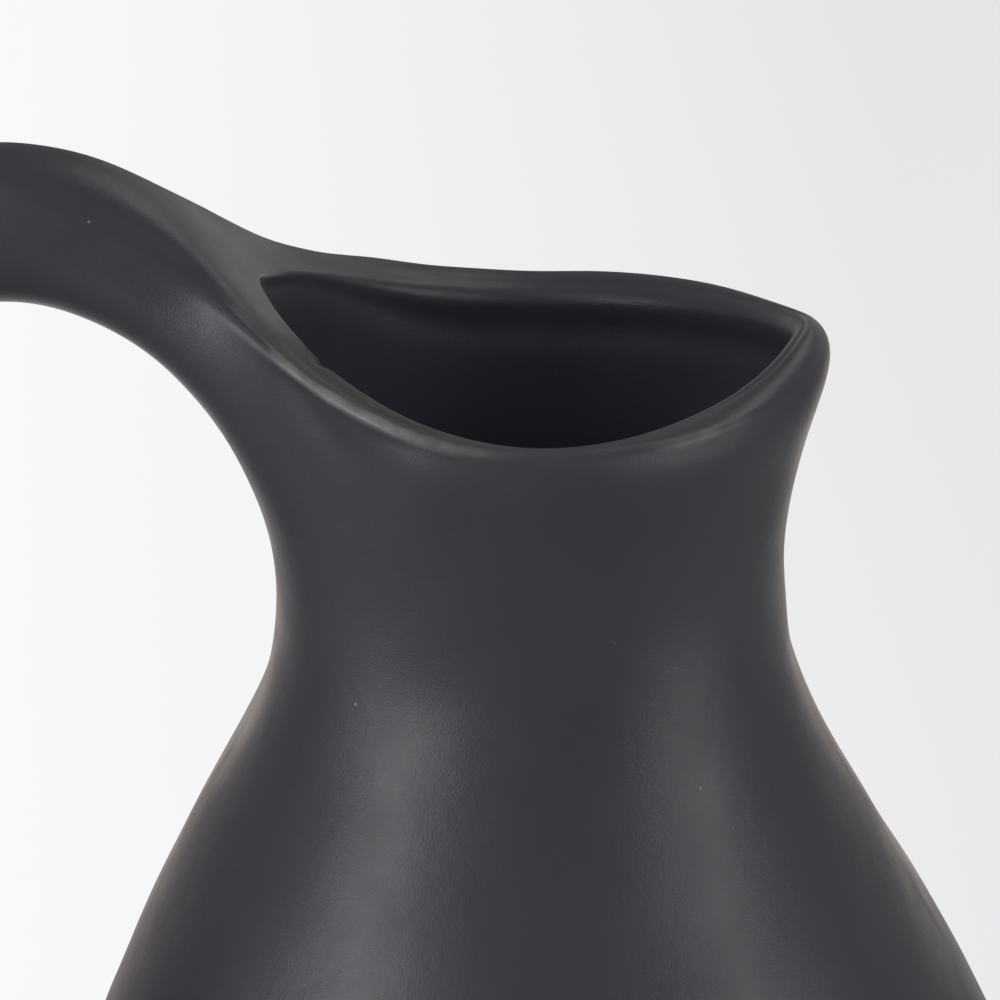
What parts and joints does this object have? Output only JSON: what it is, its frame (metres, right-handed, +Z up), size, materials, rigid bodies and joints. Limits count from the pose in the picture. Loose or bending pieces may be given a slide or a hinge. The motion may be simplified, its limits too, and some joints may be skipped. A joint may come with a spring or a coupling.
{
  "type": "ceramic jug",
  "caption": "Pear-shaped ceramic water jug with a narrow neck, a saddle-shaped mouth, a pouring lip and a thick loop handle.",
  "frame": {"origin": "centre of the jug's footprint box, on the surface it stands on", "axes": "+Z up, +X toward the pouring lip, handle toward -X, +Y across the handle"},
  "size_m": [0.2602, 0.199, 0.3124],
  "materials": {
    "charcoal_glaze": "satin",
    "felt": "matte"
  },
  "bodies": {
    "root": {"body": "charcoal_glaze", "handle": "charcoal_glaze", "foot_pad_1": "felt", "foot_pad_2": "felt", "foot_pad_3": "felt", "foot_pad_4": "felt"}
  },
  "joints": []
}
